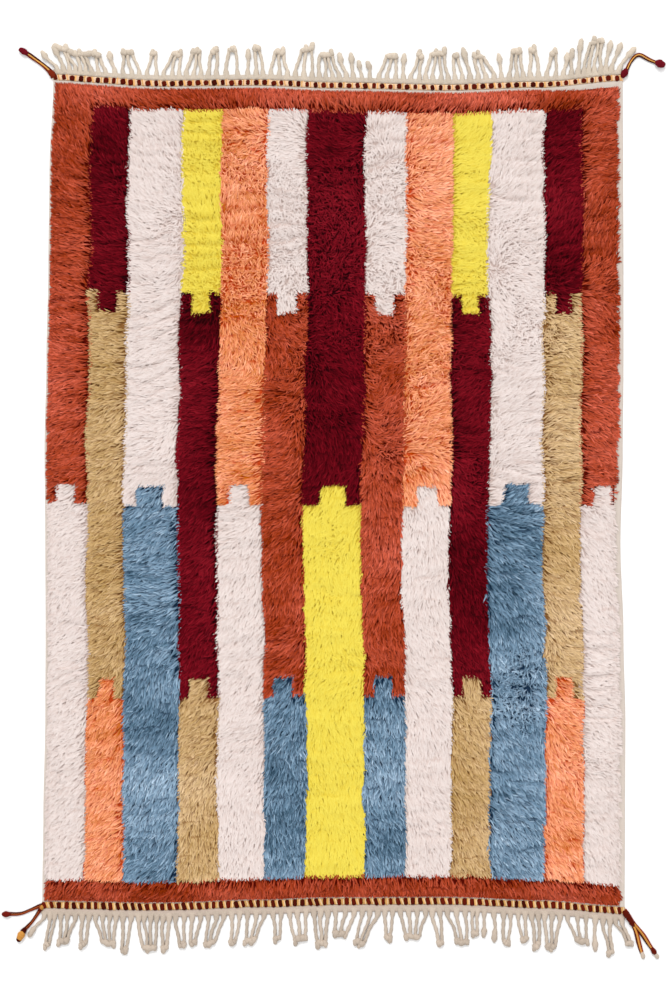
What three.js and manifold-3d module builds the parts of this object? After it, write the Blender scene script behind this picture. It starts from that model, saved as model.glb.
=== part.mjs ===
// A hand-knotted wool rug of about five feet by eight, lying flat with its pile up.
// The body is woven and knotted in one piece: a cotton ground, bare along its selvedges, and a
// thick pile that ends in loose locks. Each end has a twined edging and a fringe of knotted warp
// cords, and each corner a tassel of wrapped cord.
// Millimetres, +Z up, +Y towards the far end, origin on the floor under the middle of the rug.

import * as THREE from "three";
import { mergeVertices } from "three/addons/utils/BufferGeometryUtils.js";
import Module from "manifold-3d";

const wasm = await Module();
wasm.setup();

// Driving dimensions
const gap = 0.3; // between neighbouring pieces
const rugLength = 2160; // between the middles of the two edgings
const ground = { thick: 3.5, rows: 24 };
const pile = { columns: 16, rows: 108, height: 20, rimHeight: 9, rimShare: 0.018 };
const bare = { left: 9, right: 14, near: 4, far: 8 }; // ground that shows beside the pile
const relief = { ridge: 0.8, ridgeUneven: 0.8, lump: 2.4, endUneven: 2 };
const lock = { reach: 5.5, reachUneven: 1.5, notch: 3 }; // at the pile's sides
const edging = { width: 16, height: 8, wraps: 74, waist: 0.78 };
const strip = { near: 16, far: 11, thick: 3.5 }; // its width at each end
const fringe = { rootDepth: 9, topShare: 0.62, leanEarly: 0.3, reachUneven: 4 };
const knotSpacing = { share: 0.75, min: 13.8, max: 20 }; // of a cord's room along the end
const weldDistance = 1e-3; // points nearer than this are one point
const flatWithin = 0.02; // faces that lie this near to one plane become one

// The long edges, from the near end to the far end.
const sideEdges = [
  { along: -1080, left: -769, right: 766 },
  { along: -850, left: -766, right: 767 },
  { along: -600, left: -761, right: 768 },
  { along: -370, left: -760, right: 763 },
  { along: -130, left: -761, right: 755 },
  { along: 110, left: -763, right: 761 },
  { along: 350, left: -758, right: 763 },
  { along: 590, left: -753, right: 763 },
  { along: 840, left: -750, right: 762 },
  { along: 1080, left: -740, right: 761 },
];

// The middle of each edging, from left to right: hand weaving leaves the ends a little wavy.
const endEdges = [
  { across: -770, near: -1083, far: 1099 },
  { across: -450, near: -1088, far: 1082 },
  { across: -200, near: -1080, far: 1084 },
  { across: 0, near: -1074, far: 1077 },
  { across: 300, near: -1073, far: 1071 },
  { across: 540, near: -1082, far: 1079 },
  { across: 770, near: -1097, far: 1097 },
];

// The knots of each fringe, from left to right: the room of their cords along the end, how many
// cords they tie, how far they lean sideways, and how far they reach from the edging's middle.
const fringeKnots = {
  far: [
    { room: 22, cords: 1, lean: -42, reach: 76 },
    { room: 15, cords: 1, lean: -30, reach: 87 },
    { room: 28, cords: 2, lean: -20, reach: 82 },
    { room: 44, cords: 3, lean: -17, reach: 77 },
    { room: 40, cords: 2, lean: -13, reach: 72 },
    { room: 26, cords: 1, lean: -15, reach: 82 },
    { room: 62, cords: 3, lean: -11, reach: 85 },
    { room: 43, cords: 2, lean: 6, reach: 87 },
    { room: 62, cords: 3, lean: 12, reach: 84 },
    { room: 52, cords: 3, lean: 8, reach: 93 },
    { room: 47, cords: 2, lean: 5, reach: 92 },
    { room: 59, cords: 2, lean: 0, reach: 97 },
    { room: 24, cords: 1, lean: 0, reach: 91 },
    { room: 38, cords: 2, lean: -8, reach: 97 },
    { room: 62, cords: 3, lean: 0, reach: 90 },
    { room: 67, cords: 3, lean: 8, reach: 102 },
    { room: 70, cords: 4, lean: -10, reach: 89 },
    { room: 17, cords: 1, lean: -19, reach: 86 },
    { room: 20, cords: 1, lean: -7, reach: 89 },
    { room: 24, cords: 1, lean: -8, reach: 72 },
    { room: 24, cords: 1, lean: -9, reach: 72 },
    { room: 64, cords: 3, lean: 10, reach: 89 },
    { room: 19, cords: 1, lean: 3, reach: 92 },
    { room: 40, cords: 2, lean: 16, reach: 91 },
    { room: 78, cords: 4, lean: 2, reach: 99 },
    { room: 36, cords: 2, lean: -9, reach: 93 },
    { room: 23, cords: 1, lean: -19, reach: 106 },
    { room: 62, cords: 3, lean: -19, reach: 89 },
    { room: 20, cords: 1, lean: -9, reach: 88 },
    { room: 56, cords: 3, lean: 0, reach: 93 },
    { room: 42, cords: 2, lean: -6, reach: 102 },
    { room: 43, cords: 2, lean: 6, reach: 89 },
    { room: 21, cords: 1, lean: 11, reach: 82 },
    { room: 20, cords: 1, lean: 4, reach: 93 },
    { room: 16, cords: 1, lean: 10, reach: 113 },
    { room: 58, cords: 4, lean: 11, reach: 112 },
    { room: 14, cords: 1, lean: 14, reach: 100 },
    { room: 14, cords: 1, lean: 28, reach: 97 },
    { room: 24, cords: 1, lean: 46, reach: 84 },
  ],
  near: [
    { room: 13, cords: 1, lean: -42, reach: 91 },
    { room: 28, cords: 2, lean: -13, reach: 112 },
    { room: 55, cords: 3, lean: -12, reach: 101 },
    { room: 38, cords: 2, lean: -5, reach: 110 },
    { room: 71, cords: 4, lean: 4, reach: 105 },
    { room: 42, cords: 2, lean: -9, reach: 122 },
    { room: 66, cords: 4, lean: 3, reach: 114 },
    { room: 31, cords: 2, lean: -3, reach: 117 },
    { room: 43, cords: 2, lean: 5, reach: 110 },
    { room: 43, cords: 2, lean: -9, reach: 106 },
    { room: 63, cords: 3, lean: -16, reach: 108 },
    { room: 42, cords: 2, lean: -8, reach: 107 },
    { room: 66, cords: 3, lean: -15, reach: 106 },
    { room: 44, cords: 2, lean: 1, reach: 102 },
    { room: 66, cords: 3, lean: 6, reach: 105 },
    { room: 55, cords: 3, lean: 3, reach: 121 },
    { room: 75, cords: 3, lean: -13, reach: 94 },
    { room: 60, cords: 3, lean: -27, reach: 118 },
    { room: 39, cords: 2, lean: -3, reach: 104 },
    { room: 86, cords: 4, lean: 1, reach: 101 },
    { room: 38, cords: 2, lean: 12, reach: 116 },
    { room: 71, cords: 3, lean: 14, reach: 111 },
    { room: 28, cords: 2, lean: 0, reach: 92 },
    { room: 24, cords: 1, lean: -4, reach: 96 },
    { room: 26, cords: 1, lean: 0, reach: 103 },
    { room: 40, cords: 2, lean: -2, reach: 107 },
    { room: 38, cords: 2, lean: 8, reach: 98 },
    { room: 34, cords: 2, lean: 5, reach: 115 },
    { room: 58, cords: 3, lean: -3, reach: 121 },
    { room: 73, cords: 3, lean: 11, reach: 96 },
    { room: 24, cords: 1, lean: 0, reach: 114 },
    { room: 34, cords: 2, lean: 12, reach: 123 },
    { room: 32, cords: 2, lean: 27, reach: 97 },
  ],
};

// Sections of a fringe cord, from its root in the strip to its cut tip.
const cordSections = [
  { along: 0, width: 11, height: 2.4 },
  { along: 0.26, width: 9.5, height: 7.5 },
  { along: 0.72, width: 8.5, height: 7.5 },
  { along: 0.87, width: 13, height: 12 },
  { along: 1, width: 8, height: 7 },
];

// Sections of a tassel cord, from the knot at its root to the wrapped knob at its tip: the part it
// belongs to, and its share of that part's width.
const tasselSections = [
  { along: 0, part: "cord", share: 1 },
  { along: 0.08, part: "root", share: 1 },
  { along: 0.17, part: "cord", share: 1.05 },
  { along: 0.35, part: "cord", share: 1 },
  { along: 0.55, part: "cord", share: 1 },
  { along: 0.7, part: "cord", share: 0.95 },
  { along: 0.83, part: "knob", share: 0.7 },
  { along: 0.93, part: "knob", share: 1 },
  { along: 1, part: "knob", share: 0.7 },
];
const tasselShape = { heightShare: 0.85, topShare: 0.55 };

// The corner tassels: the widths of their parts, and their cords as places [out past the side of
// the rug, out past its end].
const tassels = [
  {
    name: "tassel_far_left",
    side: "left",
    end: "far",
    widths: { root: 16, cord: 14, knob: 18 },
    cords: [[[-8, 0], [4, 10], [30, 35], [56, 54], [88, 74]]],
  },
  {
    name: "tassel_far_right",
    side: "right",
    end: "far",
    widths: { root: 20, cord: 11, knob: 21 },
    cords: [[[-8, 0], [9, 20], [22, 44], [42, 60], [70, 48], [108, 32]]],
  },
  {
    name: "tassel_near_left",
    side: "left",
    end: "near",
    widths: { root: 15, cord: 10, knob: 18 },
    cords: [
      [[-8, 0], [8, 4], [32, 14], [60, 23], [104, 24]],
      [[-8, 0], [4, 12], [25, 42], [47, 66], [63, 94]],
    ],
  },
  {
    name: "tassel_near_right",
    side: "right",
    end: "near",
    widths: { root: 18, cord: 12, knob: 14 },
    cords: [
      [[-8, 0], [10, 14], [29, 42], [54, 74], [88, 126]],
      [[-8, 0], [8, 16], [25, 46], [38, 88], [50, 127]],
    ],
  },
];
const cornerCut = 40; // the block that squares a tassel's root off against the rug

const materials = {
  wool: new THREE.MeshStandardMaterial({ color: 0xb5472e, roughness: 0.95, metalness: 0 }),
  twine: new THREE.MeshStandardMaterial({ color: 0x6b3418, roughness: 0.85, metalness: 0 }),
  cotton: new THREE.MeshStandardMaterial({ color: 0xe6ddd0, roughness: 0.9, metalness: 0 }),
  tassel: new THREE.MeshStandardMaterial({ color: 0x8a4a22, roughness: 0.8, metalness: 0 }),
};

// A repeatable uneven number from -1 to 1.
function uneven(first, second = 0) {
  const wave = Math.sin(first * 12.9898 + second * 78.233) * 43758.5453;
  return 2 * (wave - Math.floor(wave)) - 1;
}

// The value of a table's column at a place between its rows, eased from row to row.
function eased(rows, key, column, place) {
  const last = rows.length - 1;
  if (place <= rows[0][key]) return rows[0][column];
  if (place >= rows[last][key]) return rows[last][column];
  const next = rows.findIndex((row) => row[key] >= place);
  const from = rows[next - 1];
  const to = rows[next];
  const share = THREE.MathUtils.smoothstep(place, from[key], to[key]);
  return THREE.MathUtils.lerp(from[column], to[column], share);
}

const sideAt = (side, y) => eased(sideEdges, "along", side, y);
const endAt = (end, x) => eased(endEdges, "across", end, x);
const outward = { near: -1, far: 1, left: -1, right: 1 };

// A block whose points are moved: move() gets each point as shares of the block's three sides.
function shapedBlock(columns, rows, move) {
  const block = new THREE.BoxGeometry(1, 1, 1, columns, rows, 1);
  const points = block.getAttribute("position");
  const share = new THREE.Vector3();
  for (let i = 0; i < points.count; i += 1) {
    share.fromBufferAttribute(points, i).addScalar(0.5);
    points.setXYZ(i, ...move(share.x, share.y, share.z));
  }
  return block;
}

function solidOf(geometry) {
  geometry.deleteAttribute("normal");
  geometry.deleteAttribute("uv");
  const welded = mergeVertices(geometry, weldDistance);
  const vertProperties = welded.getAttribute("position").array;
  const triVerts = new Uint32Array(welded.index.array);
  return new wasm.Manifold(new wasm.Mesh({ numProp: 3, vertProperties, triVerts }));
}

function meshOf(name, solid, material) {
  const { vertProperties, triVerts } = solid.simplify(flatWithin).getMesh();
  const geometry = new THREE.BufferGeometry();
  geometry.setAttribute("position", new THREE.BufferAttribute(vertProperties, 3));
  geometry.setIndex(new THREE.BufferAttribute(triVerts, 1));
  geometry.computeVertexNormals();
  const mesh = new THREE.Mesh(geometry, material);
  mesh.name = name;
  return mesh;
}

const joined = (solids) => solids.reduce((whole, solid) => whole.add(solid));

const bodyEnd = edging.width / 2 + gap; // the ground stops this far from an edging's middle

// A place on the rug from shares of its width and length, kept back from the ground's four edges.
function onRug(across, along, { left, right, near, far }) {
  const y = (along - 0.5) * rugLength;
  const x = THREE.MathUtils.lerp(sideAt("left", y) + left, sideAt("right", y) - right, across);
  const from = endAt("near", x) + bodyEnd + near;
  const to = endAt("far", x) - bodyEnd - far;
  return [x, THREE.MathUtils.lerp(from, to, along)];
}

function groundSheet() {
  const toEdge = { left: 0, right: 0, near: 0, far: 0 };
  return shapedBlock(edging.wraps, ground.rows, (u, v, w) => [...onRug(u, v, toEdge), w * ground.thick]);
}

// Where a column of the pile's points lies: the outermost ones keep close to its rim.
function pileShare(column) {
  if (column === 0) return 0;
  if (column === pile.columns) return 1;
  const share = (column - 1) / (pile.columns - 2);
  return THREE.MathUtils.lerp(pile.rimShare, 1 - pile.rimShare, share);
}

// The pile: rows of knots raise it in uneven ridges, and its rim breaks up into locks.
function pileSlab() {
  return shapedBlock(pile.columns, pile.rows, (u, v, w) => {
    const column = Math.round(u * pile.columns);
    const row = Math.round(v * pile.rows);
    const atSide = column === 0 || column === pile.columns;
    const atEnd = row === 0 || row === pile.rows;
    const [x, y] = onRug(pileShare(column), v, bare);
    const lockOut = row % 2 ? lock.reach + lock.reachUneven * uneven(row, column) : -lock.notch;
    const top = atSide || atEnd ? pile.rimHeight : pile.height + ridgeHeight(column, row);
    return [
      x + (atSide && !atEnd ? Math.sign(column - 1) * lockOut : 0),
      y + (atEnd && !atSide ? relief.endUneven * uneven(column, row) : 0),
      w > 0.5 ? top : ground.thick / 2,
    ];
  });
}

function ridgeHeight(column, row) {
  const ridge = relief.ridge + relief.ridgeUneven * uneven(row);
  return (row % 2 ? ridge : -ridge) + relief.lump * uneven(column, row);
}

function rugBody() {
  return meshOf("rug_body", joined([solidOf(groundSheet()), solidOf(pileSlab())]), materials.wool);
}

// Where an end's pieces stop at a side of the rug.
const cornerAt = (side, end) => sideAt(side, (outward[end] * rugLength) / 2);

// A place along an end of the rug, by its share from left to right.
function alongEnd(end, share) {
  return THREE.MathUtils.lerp(cornerAt("left", end), cornerAt("right", end), share);
}

// The twined edging: two colours of yarn wrapped in turn, each wrap a low bulge.
function edgingBand(end) {
  const sections = 2 * edging.wraps;
  const block = shapedBlock(sections, 1, (u, v, w) => {
    const x = alongEnd(end, u);
    const bulge = Math.round(u * sections) % 2 ? 1 : edging.waist;
    return [x, endAt(end, x) + (v - 0.5) * edging.width * bulge, w * edging.height * bulge];
  });
  return meshOf("edging_" + end, solidOf(block), materials.twine);
}

// The woven strip outside an edging, which holds the roots of the fringe.
function fringeStrip(end) {
  return shapedBlock(edging.wraps, 1, (u, v, w) => {
    const x = alongEnd(end, u);
    const share = end === "far" ? v : 1 - v;
    return [x, endAt(end, x) + outward[end] * (bodyEnd + share * strip[end]), w * strip.thick];
  });
}

// A cord on the floor along a curve: four sides, flat underneath, sized by its sections.
function lyingCord(curve, sections, topShare) {
  const steps = sections.length - 1;
  return shapedBlock(1, steps, (u, v, w) => {
    const section = sections[Math.round(v * steps)];
    const middle = curve.getPoint(section.along);
    const heading = curve.getTangent(section.along);
    const aside = (u - 0.5) * section.width * (w > 0.5 ? topShare : 1);
    return [middle.x + heading.y * aside, middle.y - heading.x * aside, w * section.height];
  });
}

// One fringe cord: it leaves the strip square to the end and leans towards the knot of its group.
function fringeCord(end, rootShare, middleShare, fromMiddle, knot, reach) {
  const rootX = alongEnd(end, rootShare);
  const tipX = alongEnd(end, middleShare) + fromMiddle + knot.lean;
  const rootY = endAt(end, rootX) + outward[end] * (bodyEnd + strip[end] - fringe.rootDepth);
  const tipY = endAt(end, rootX) + outward[end] * reach;
  const curve = new THREE.QuadraticBezierCurve3(
    new THREE.Vector3(rootX, rootY, 0),
    new THREE.Vector3(rootX + knot.lean * fringe.leanEarly, (rootY + tipY) / 2, 0),
    new THREE.Vector3(tipX, tipY, 0),
  );
  return lyingCord(curve, cordSections, fringe.topShare);
}

function fringeOf(end) {
  const knots = fringeKnots[end];
  const wholeRoom = knots.reduce((sum, knot) => sum + knot.room, 0);
  const solids = [solidOf(fringeStrip(end))];
  let start = 0;
  for (const knot of knots) {
    const pitch = knot.room / knot.cords;
    const spacing = THREE.MathUtils.clamp(pitch * knotSpacing.share, knotSpacing.min, knotSpacing.max);
    const middle = (start + knot.room / 2) / wholeRoom;
    for (let place = 0; place < knot.cords; place += 1) {
      const root = (start + (place + 0.5) * pitch) / wholeRoom;
      const fromMiddle = (place - (knot.cords - 1) / 2) * spacing;
      const reach = knot.reach + fringe.reachUneven * uneven(start, place);
      solids.push(solidOf(fringeCord(end, root, middle, fromMiddle, knot, reach)));
    }
    start += knot.room;
  }
  return meshOf("fringe_" + end, joined(solids), materials.cotton);
}

// A corner tassel: its cords share the knot at the corner of the rug, squared off against it.
function tasselOf({ name, side, end, widths, cords }) {
  const cornerX = cornerAt(side, end) + outward[side] * gap;
  const cornerY = endAt(end, cornerX);
  const sections = tasselSections.map(({ along, part, share }) => {
    const width = widths[part] * share;
    return { along, width, height: width * tasselShape.heightShare };
  });
  const solids = cords.map((places) => {
    const route = places.map(
      ([out, past]) => new THREE.Vector3(cornerX + outward[side] * out, cornerY + outward[end] * past, 0),
    );
    return solidOf(lyingCord(new THREE.CatmullRomCurve3(route), sections, tasselShape.topShare));
  });
  const cutFrom = side === "left" ? cornerX : cornerX - cornerCut;
  const cut = shapedBlock(1, 1, (u, v, w) => [
    cutFrom + u * cornerCut,
    cornerY + (v - 0.5) * cornerCut,
    (w - 0.5) * cornerCut,
  ]);
  return meshOf(name, joined(solids).subtract(solidOf(cut)), materials.tassel);
}

const rug = new THREE.Group();
rug.add(rugBody());
for (const end of ["far", "near"]) {
  rug.add(edgingBand(end), fringeOf(end));
}
for (const tassel of tassels) {
  rug.add(tasselOf(tassel));
}

export default rug;
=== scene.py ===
# A thick-pile wool rug lying on a pale floor, seen from straight above.
import math
import bpy
import numpy as np
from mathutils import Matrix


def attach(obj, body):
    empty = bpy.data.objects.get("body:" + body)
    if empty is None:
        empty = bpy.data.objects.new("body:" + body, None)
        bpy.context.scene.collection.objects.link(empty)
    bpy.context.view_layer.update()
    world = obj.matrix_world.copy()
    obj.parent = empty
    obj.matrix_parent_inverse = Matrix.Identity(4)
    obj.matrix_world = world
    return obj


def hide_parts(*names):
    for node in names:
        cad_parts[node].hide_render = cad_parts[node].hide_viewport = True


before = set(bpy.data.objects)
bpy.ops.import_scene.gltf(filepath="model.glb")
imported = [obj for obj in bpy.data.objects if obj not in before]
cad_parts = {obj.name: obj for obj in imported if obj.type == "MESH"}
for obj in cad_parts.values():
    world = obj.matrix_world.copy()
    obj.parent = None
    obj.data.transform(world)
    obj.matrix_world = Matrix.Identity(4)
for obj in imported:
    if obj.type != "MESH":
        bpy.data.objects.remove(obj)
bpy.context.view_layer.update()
mm = 0.001  # sizes below are in millimetres, meshes in metres
scene = bpy.context.scene
print("frame loaded:", ", ".join(sorted(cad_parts)))

# layout of the rug, the same as its solids

rug = {
    "length": 2160,      # between the middles of the two edgings
    "width": 1524,       # about what the body measures from selvedge to selvedge
    "edging": 16,        # depth of the twined edging
    "gap": 0.3,          # between neighbouring pieces
    "strip": {"near": 16, "far": 11},  # woven strip outside the edging
    "bare": {"left": 9, "right": 14, "near": 4, "far": 8},  # ground that shows beside the pile
    "bareCorner": 10,    # and how much more of it at the far right corner
    "cornerFrom": (500, 720),  # places across where that begins, and where it is all there
    "groundThick": 3.2,
}
bodyEnd = rug["edging"] / 2 + rug["gap"]

sideEdges = [  # along, left, right
    (-1080, -769, 766), (-850, -766, 767), (-600, -761, 768), (-370, -760, 763), (-130, -761, 755),
    (110, -763, 761), (350, -758, 763), (590, -753, 763), (840, -750, 762), (1080, -740, 761),
]
endEdges = [  # across, near, far: the middle of each edging
    (-770, -1083, 1099), (-450, -1088, 1082), (-200, -1080, 1084), (0, -1074, 1077),
    (300, -1073, 1071), (540, -1082, 1079), (770, -1097, 1097),
]
outward = {"near": -1, "far": 1, "left": -1, "right": 1}
column = {"left": 1, "right": 2, "near": 1, "far": 2}


def eased(table, item, place):
    stations, values = (np.array([row[i] for row in table], float) for i in (0, item))
    place = np.clip(np.asarray(place, float), stations[0], stations[-1])
    i = np.clip(np.searchsorted(stations, place) - 1, 0, len(stations) - 2)
    share = (place - stations[i]) / (stations[i + 1] - stations[i])
    return values[i] + (values[i + 1] - values[i]) * share * share * (3 - 2 * share)


def sideAt(side, y):
    return eased(sideEdges, column[side], y)


def endAt(end, x):
    return eased(endEdges, column[end], x)


def smooth(first, last, place):
    share = np.clip((place - first) / (last - first), 0, 1)
    return share * share * (3 - 2 * share)


def cornerBare(x):
    return rug["bareCorner"] * smooth(*rug["cornerFrom"], x)


def onRug(across, along, inset):
    y = (along - 0.5) * rug["length"]
    left, right = sideAt("left", y) + inset["left"], sideAt("right", y) - inset["right"]
    x = left + (right - left) * across
    near, far = endAt("near", x) + bodyEnd + inset["near"], endAt("far", x) - bodyEnd - inset["far"]
    far = far - cornerBare(x) * (inset["far"] > 0)
    return x, near + (far - near) * along


def alongEnd(end, share):
    y = outward[end] * rug["length"] / 2
    left, right = sideAt("left", y), sideAt("right", y)
    return left + (right - left) * share


def uneven(first, second=0):  # repeatable, -1 to 1
    wave = np.sin(first * 12.9898 + second * 78.233) * 43758.5453
    return 2 * (wave - np.floor(wave)) - 1


def smoothNoise(x, y, cell, seed, cells=64):
    grid = np.random.default_rng(seed).uniform(-1, 1, (cells, cells))
    gx, gy = x / cell + 40, y / cell + 40
    ix, iy = np.floor(gx).astype(int), np.floor(gy).astype(int)
    fx, fy = gx - ix, gy - iy
    fx, fy = fx * fx * (3 - 2 * fx), fy * fy * (3 - 2 * fy)
    (left, right), (low, high) = ((i % cells, (i + 1) % cells) for i in (ix, iy))
    near = grid[left, low] * (1 - fx) + grid[right, low] * fx
    far = grid[left, high] * (1 - fx) + grid[right, high] * fx
    return near * (1 - fy) + far * fy


# the field's design: upright bars with stepped ends in a mirrored half-drop repeat

# Each yarn's tips and roots are as the eye sees them (sRGB, 0 to 255); the darker root colour is painted
# shade deep in the pile. Spread is how much its locks differ, abrash how far its dye drifts over a hand's
# breadth, rows how much lighter or darker its locks are in narrow bands across the pile, fade how much its
# light locks pale, and loft how high its locks stand.
yarnTraits = ("tip", "root", "spread", "abrash", "rows", "fade", "loft")
yarns = {name: dict(zip(yarnTraits, traits)) for name, *traits in (
    ("rust", (185, 78, 51), (86, 8, 0), 0.33, 0.65, 0.45, 0.14, 0.85),
    ("tan", (204, 171, 123), (134, 91, 48), 0.17, 0.9, 0.35, 0.6, 0.75),
    ("ivory", (222, 209, 204), (206, 185, 177), 0.03, 0.6, 0.25, 0.6, 0.42),
    ("blue", (123, 151, 174), (24, 45, 69), 0.54, 0.6, 0.42, 0.4, 1.0),
    ("coral", (236, 155, 110), (196, 68, 26), 0.22, 0.5, 0.4, 0.5, 0.85),
    ("yellow", (225, 206, 81), (218, 190, 58), 0.02, 0.4, 0.25, 0.3, 0.3),
    ("burgundy", (108, 7, 21), (40, 0, 5), 0.48, 0.9, 0.25, 0.03, 0.78),
)}
yarnNames = list(yarns)
design = {
    "endBand": 58,       # plain rust band at each end
    "bandShade": {"far": 0.1, "near": -0.3},  # how much lighter or darker its locks are made
    "stepHeight": 52,    # how far the middle of a bar runs past its sides
    "stepWidth": 0.46,   # and how much of its width does
    "wander": (3.0, 5.0),  # how far a knotted edge strays, from knot to knot and over a hand's breadth
    "columns": [         # from the middle to the side: width, then bars from the far end to the near end
        (150, ["burgundy", "yellow"]),
        (104, ["ivory", "rust", "blue"]),
        (118, ["coral", "ivory"]),
        (100, ["yellow", "burgundy", "tan"]),
        (140, ["ivory", "blue"]),
        (96, ["burgundy", "tan", "coral"]),
        (112, ["rust", "ivory"]),
    ],
}


def yarnAt(x, y):
    left, right = sideAt("left", y), sideAt("right", y)
    knotWander, handWander = design["wander"]
    widths = np.array([width for width, bars in design["columns"]], float)
    edges = np.concatenate([[0], np.cumsum(widths) - widths[0] / 2])  # from the middle line outwards
    strayed = x + knotWander * smoothNoise(x, y, 34, 11) + handWander * smoothNoise(x, y, 130, 13)
    place = np.abs((strayed - left) / (right - left) * 2 - 1) * edges[-1]
    far = endAt("far", x) - bodyEnd - rug["bare"]["far"] - design["endBand"]
    near = endAt("near", x) + bodyEnd + rug["bare"]["near"] + design["endBand"]
    along = (far - y - knotWander * smoothNoise(x, y, 30, 12)) / (far - near)
    yarn = np.zeros(np.shape(x), int)
    outermost = len(widths) - 1
    for number, (width, bars) in enumerate(design["columns"]):
        middle = 0 if number == 0 else (edges[number] + edges[number + 1]) / 2
        inStep = np.abs(place - middle) < design["stepWidth"] * width / 2
        share = along * 2 + (0.5 if len(bars) == 3 else 0)  # bars counted from the far end, half-drop
        edge = np.round(share)
        stepped = np.where(edge % 2 == number % 2, 1, -1) * np.where(inStep, 1, -1)
        shift = stepped * design["stepHeight"] / (far - near)
        bar = np.clip(np.where(share > edge + shift, edge, edge - 1), 0, len(bars) - 1).astype(int)
        names = np.array([yarnNames.index(name) for name in bars])
        outer = np.inf if number == outermost else edges[number + 1]
        yarn = np.where((place >= edges[number]) & (place <= outer), names[bar], yarn)
    return np.where((along < 0) | (along > 1), yarnNames.index("rust"), yarn)


# meshes from arrays

def addObject(name, data):
    made = bpy.data.objects.new(name, data)
    scene.collection.objects.link(made)
    return made


def meshPiece(name, points, faces, materials, materialIndex=None, numbers=None):
    mesh = bpy.data.meshes.new(name)
    mesh.vertices.add(len(points))
    mesh.vertices.foreach_set("co", (np.asarray(points) * mm).astype(np.float32).ravel())
    corners = np.concatenate([f.ravel() for f in faces]).astype(np.int32)
    sizes = np.concatenate([np.full(len(f), f.shape[1]) for f in faces])
    mesh.loops.add(len(corners))
    mesh.loops.foreach_set("vertex_index", corners)
    mesh.polygons.add(len(sizes))
    mesh.polygons.foreach_set("loop_start", (np.cumsum(sizes) - sizes).astype(np.int32))
    mesh.polygons.foreach_set("use_smooth", np.ones(len(sizes), bool))
    for material in materials:
        mesh.materials.append(material)
    if materialIndex is not None:
        mesh.polygons.foreach_set("material_index", materialIndex.astype(np.int32))
    for label, values in (numbers or {}).items():
        mesh.attributes.new(label, "FLOAT", "POINT").data.foreach_set("value", values.astype(np.float32))
    mesh.update(calc_edges=True)
    piece = addObject(name, mesh)
    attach(piece, "root")
    return piece


def travelled(path):
    return np.concatenate([[0], np.cumsum(np.linalg.norm(np.diff(path, axis=0), axis=1))])


def headings(path):
    # the way a path runs, and what lies level beside it
    heading = np.gradient(path, axis=0)
    heading /= np.linalg.norm(heading, axis=1, keepdims=True)
    return heading, np.stack([heading[:, 1], -heading[:, 0], np.zeros(len(path))], 1)


def tube(path, across, up, sides=8, material=0, plies=0, turn=0.0, plyDepth=0.0):
    # a closed tube along a path that never stands upright: half widths, half heights, and plies if wanted
    path, across, up = (np.asarray(a, float) for a in (path, across, up))
    heading, aside = headings(path)
    aside /= np.linalg.norm(aside, axis=1, keepdims=True)
    above = np.cross(aside, heading)
    travel = travelled(path)
    angle = np.arange(sides) / sides * 2 * np.pi
    ply = 1 - plyDepth * (0.5 - 0.5 * np.cos(plies * (angle[None] - turn * travel[:, None])))
    ring = (aside[:, None] * (np.cos(angle) * ply * across[:, None])[..., None]
            + above[:, None] * (np.sin(angle) * ply * up[:, None])[..., None])
    points = np.concatenate([(path[:, None] + ring).reshape(-1, 3), path[:1], path[-1:]])
    k, i = np.meshgrid(np.arange(sides), np.arange(len(path) - 1))
    a, b = i * sides + k, i * sides + (k + 1) % sides
    quads = np.stack([a, b, b + sides, a + sides], -1).reshape(-1, 4)
    first, last = len(path) * sides, len(path) * sides + 1
    k, end = np.arange(sides), (len(path) - 1) * sides
    after = (k + 1) % sides
    tris = np.concatenate([np.stack([np.full(sides, first), after, k], 1),
                           np.stack([np.full(sides, last), end + k, end + after], 1)])
    return {"points": points, "quads": quads, "tris": tris, "material": material,
            "along": np.concatenate([np.repeat(travel, sides), travel[:1], travel[-1:]])}


def joinParts(name, parts, materials):
    starts = np.cumsum([0] + [len(part["points"]) for part in parts])
    quads, tris = (np.concatenate([part[kind] + s for part, s in zip(parts, starts)])
                   for kind in ("quads", "tris"))
    index = np.concatenate([np.full(len(part[kind]), part["material"])
                            for kind in ("quads", "tris") for part in parts])
    shade = np.concatenate([np.full(len(part["points"]), uneven(i, len(parts)))
                            for i, part in enumerate(parts)])
    along, points = (np.concatenate([part[key] for part in parts]) for key in ("along", "points"))
    points[:, 2] = np.maximum(points[:, 2], 0)  # what lies on the floor is flat there
    return meshPiece(name, points, [quads, tris], materials, index, {"shade": shade, "along": along})


def curve(knots, count):
    # a smooth line through a few places
    knots = np.array(knots, float)
    ends = np.concatenate([2 * knots[:1] - knots[1:2], knots, 2 * knots[-1:] - knots[-2:-1]])
    t = np.linspace(0, len(knots) - 1, count)
    i = np.clip(t.astype(int), 0, len(knots) - 2)
    f = (t - i)[:, None]
    a, b, c, d = ends[i], ends[i + 1], ends[i + 2], ends[i + 3]
    slope, bend, twist = c - a, 2 * a - 5 * b + 4 * c - d, 3 * b - a - 3 * c + d
    return 0.5 * (2 * b + slope * f + bend * f ** 2 + twist * f ** 3)


# shader groups

def linear(colour):
    values = [c / 255 for c in colour]
    return tuple(v / 12.92 if v <= 0.04045 else ((v + 0.055) / 1.055) ** 2.4 for v in values) + (1.0,)


def newGroup(name, inputs, outputs):
    group = bpy.data.node_groups.new(name, "ShaderNodeTree")
    for label, value in inputs.items():
        kind = "NodeSocketColor" if isinstance(value, tuple) else "NodeSocketFloat"
        group.interface.new_socket(label, in_out="INPUT", socket_type=kind).default_value = value
    for label in outputs:
        kind = "NodeSocketColor" if label == "Colour" else "NodeSocketFloat"
        group.interface.new_socket(label, in_out="OUTPUT", socket_type=kind)
    return group, group.nodes.new("NodeGroupInput").outputs, group.nodes.new("NodeGroupOutput").inputs


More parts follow.
